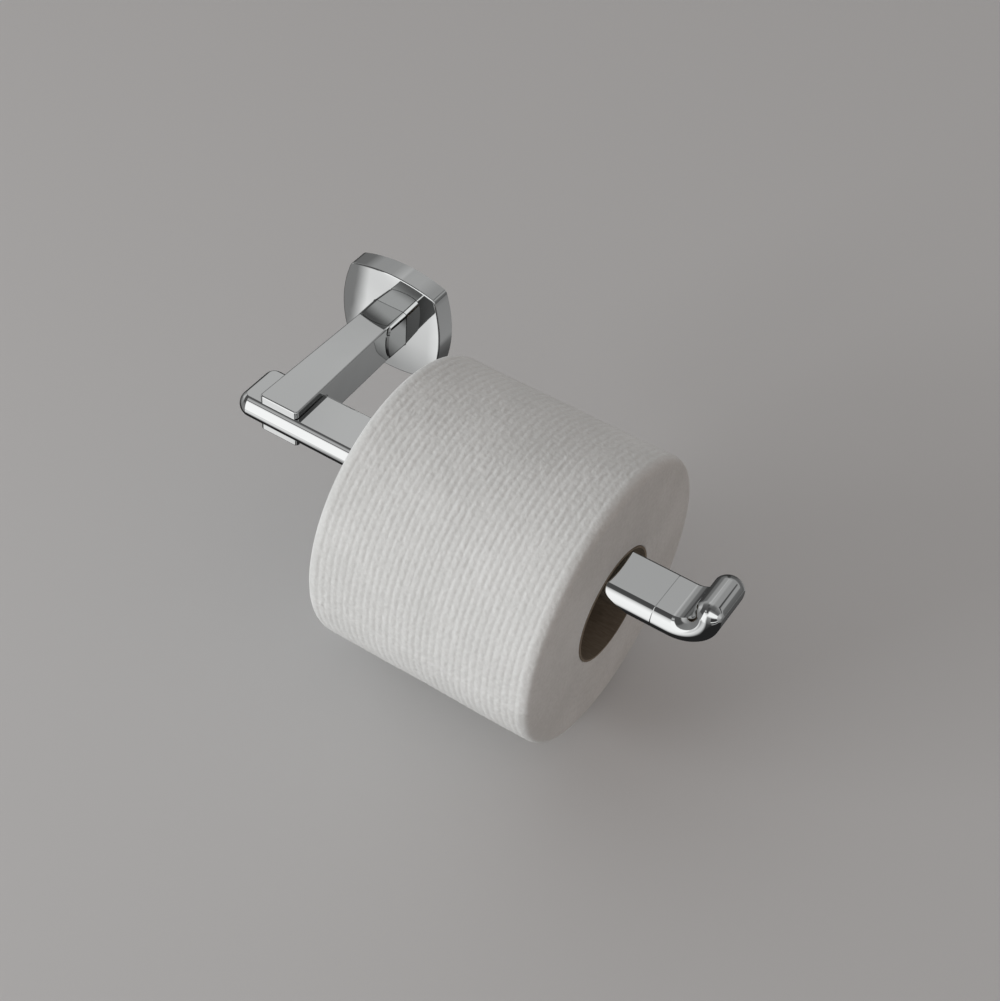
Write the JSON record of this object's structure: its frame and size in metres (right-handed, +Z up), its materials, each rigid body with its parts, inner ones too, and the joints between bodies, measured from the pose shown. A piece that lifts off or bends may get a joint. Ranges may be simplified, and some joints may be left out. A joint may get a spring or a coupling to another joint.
{
  "type": "toilet paper holder",
  "caption": "Wall-mounted pivoting toilet paper holder: bowed square flange, arm, flat bar with an upturned end, and a paper roll that turns on the bar.",
  "frame": {"origin": "centre of the flange's outline, on the wall face", "axes": "+X along the bar towards its turned-up end, +Y into the wall, +Z up"},
  "size_m": [0.2268, 0.1401, 0.1238],
  "materials": {
    "chrome": "polished chrome plate",
    "steel": "bright zinc-plated steel",
    "brass": "machined brass",
    "acetal": "natural acetal, matt",
    "card": "plain spiral-wound board",
    "tissue": "embossed white tissue"
  },
  "bodies": {
    "wall_post": {"wall_bracket": "steel", "flange": "chrome", "flange_set_screw": "steel", "post": "chrome", "front_bushing": "acetal", "rear_bushing": "acetal", "stop_pin": "steel"},
    "swing_arm": {"pivot_shaft": "steel", "thrust_washer": "steel", "disc_spring": "steel", "lock_nut": "steel", "shaft_lock_screw": "steel", "arm": "chrome", "bar": "chrome", "bar_insert": "brass", "bar_screws": "steel", "bar_plug": "brass", "hook_stud": "steel", "dowel_pins": "steel", "hook_end": "chrome"},
    "roll": {"cardboard_core": "card", "paper_roll": "tissue"}
  },
  "joints": [
    {"name": "arm_pivot", "type": "hinge", "parent": "wall_post", "child": "swing_arm", "pos_m": [0, -0.024, 0], "axis": [0, -1, 0], "range_deg": [0, 90]},
    {"name": "roll_spin", "type": "hinge", "parent": "swing_arm", "child": "roll", "pos_m": [0.1038, -0.07825, -0.0162], "axis": [1, 0, 0], "continuous": true}
  ]
}
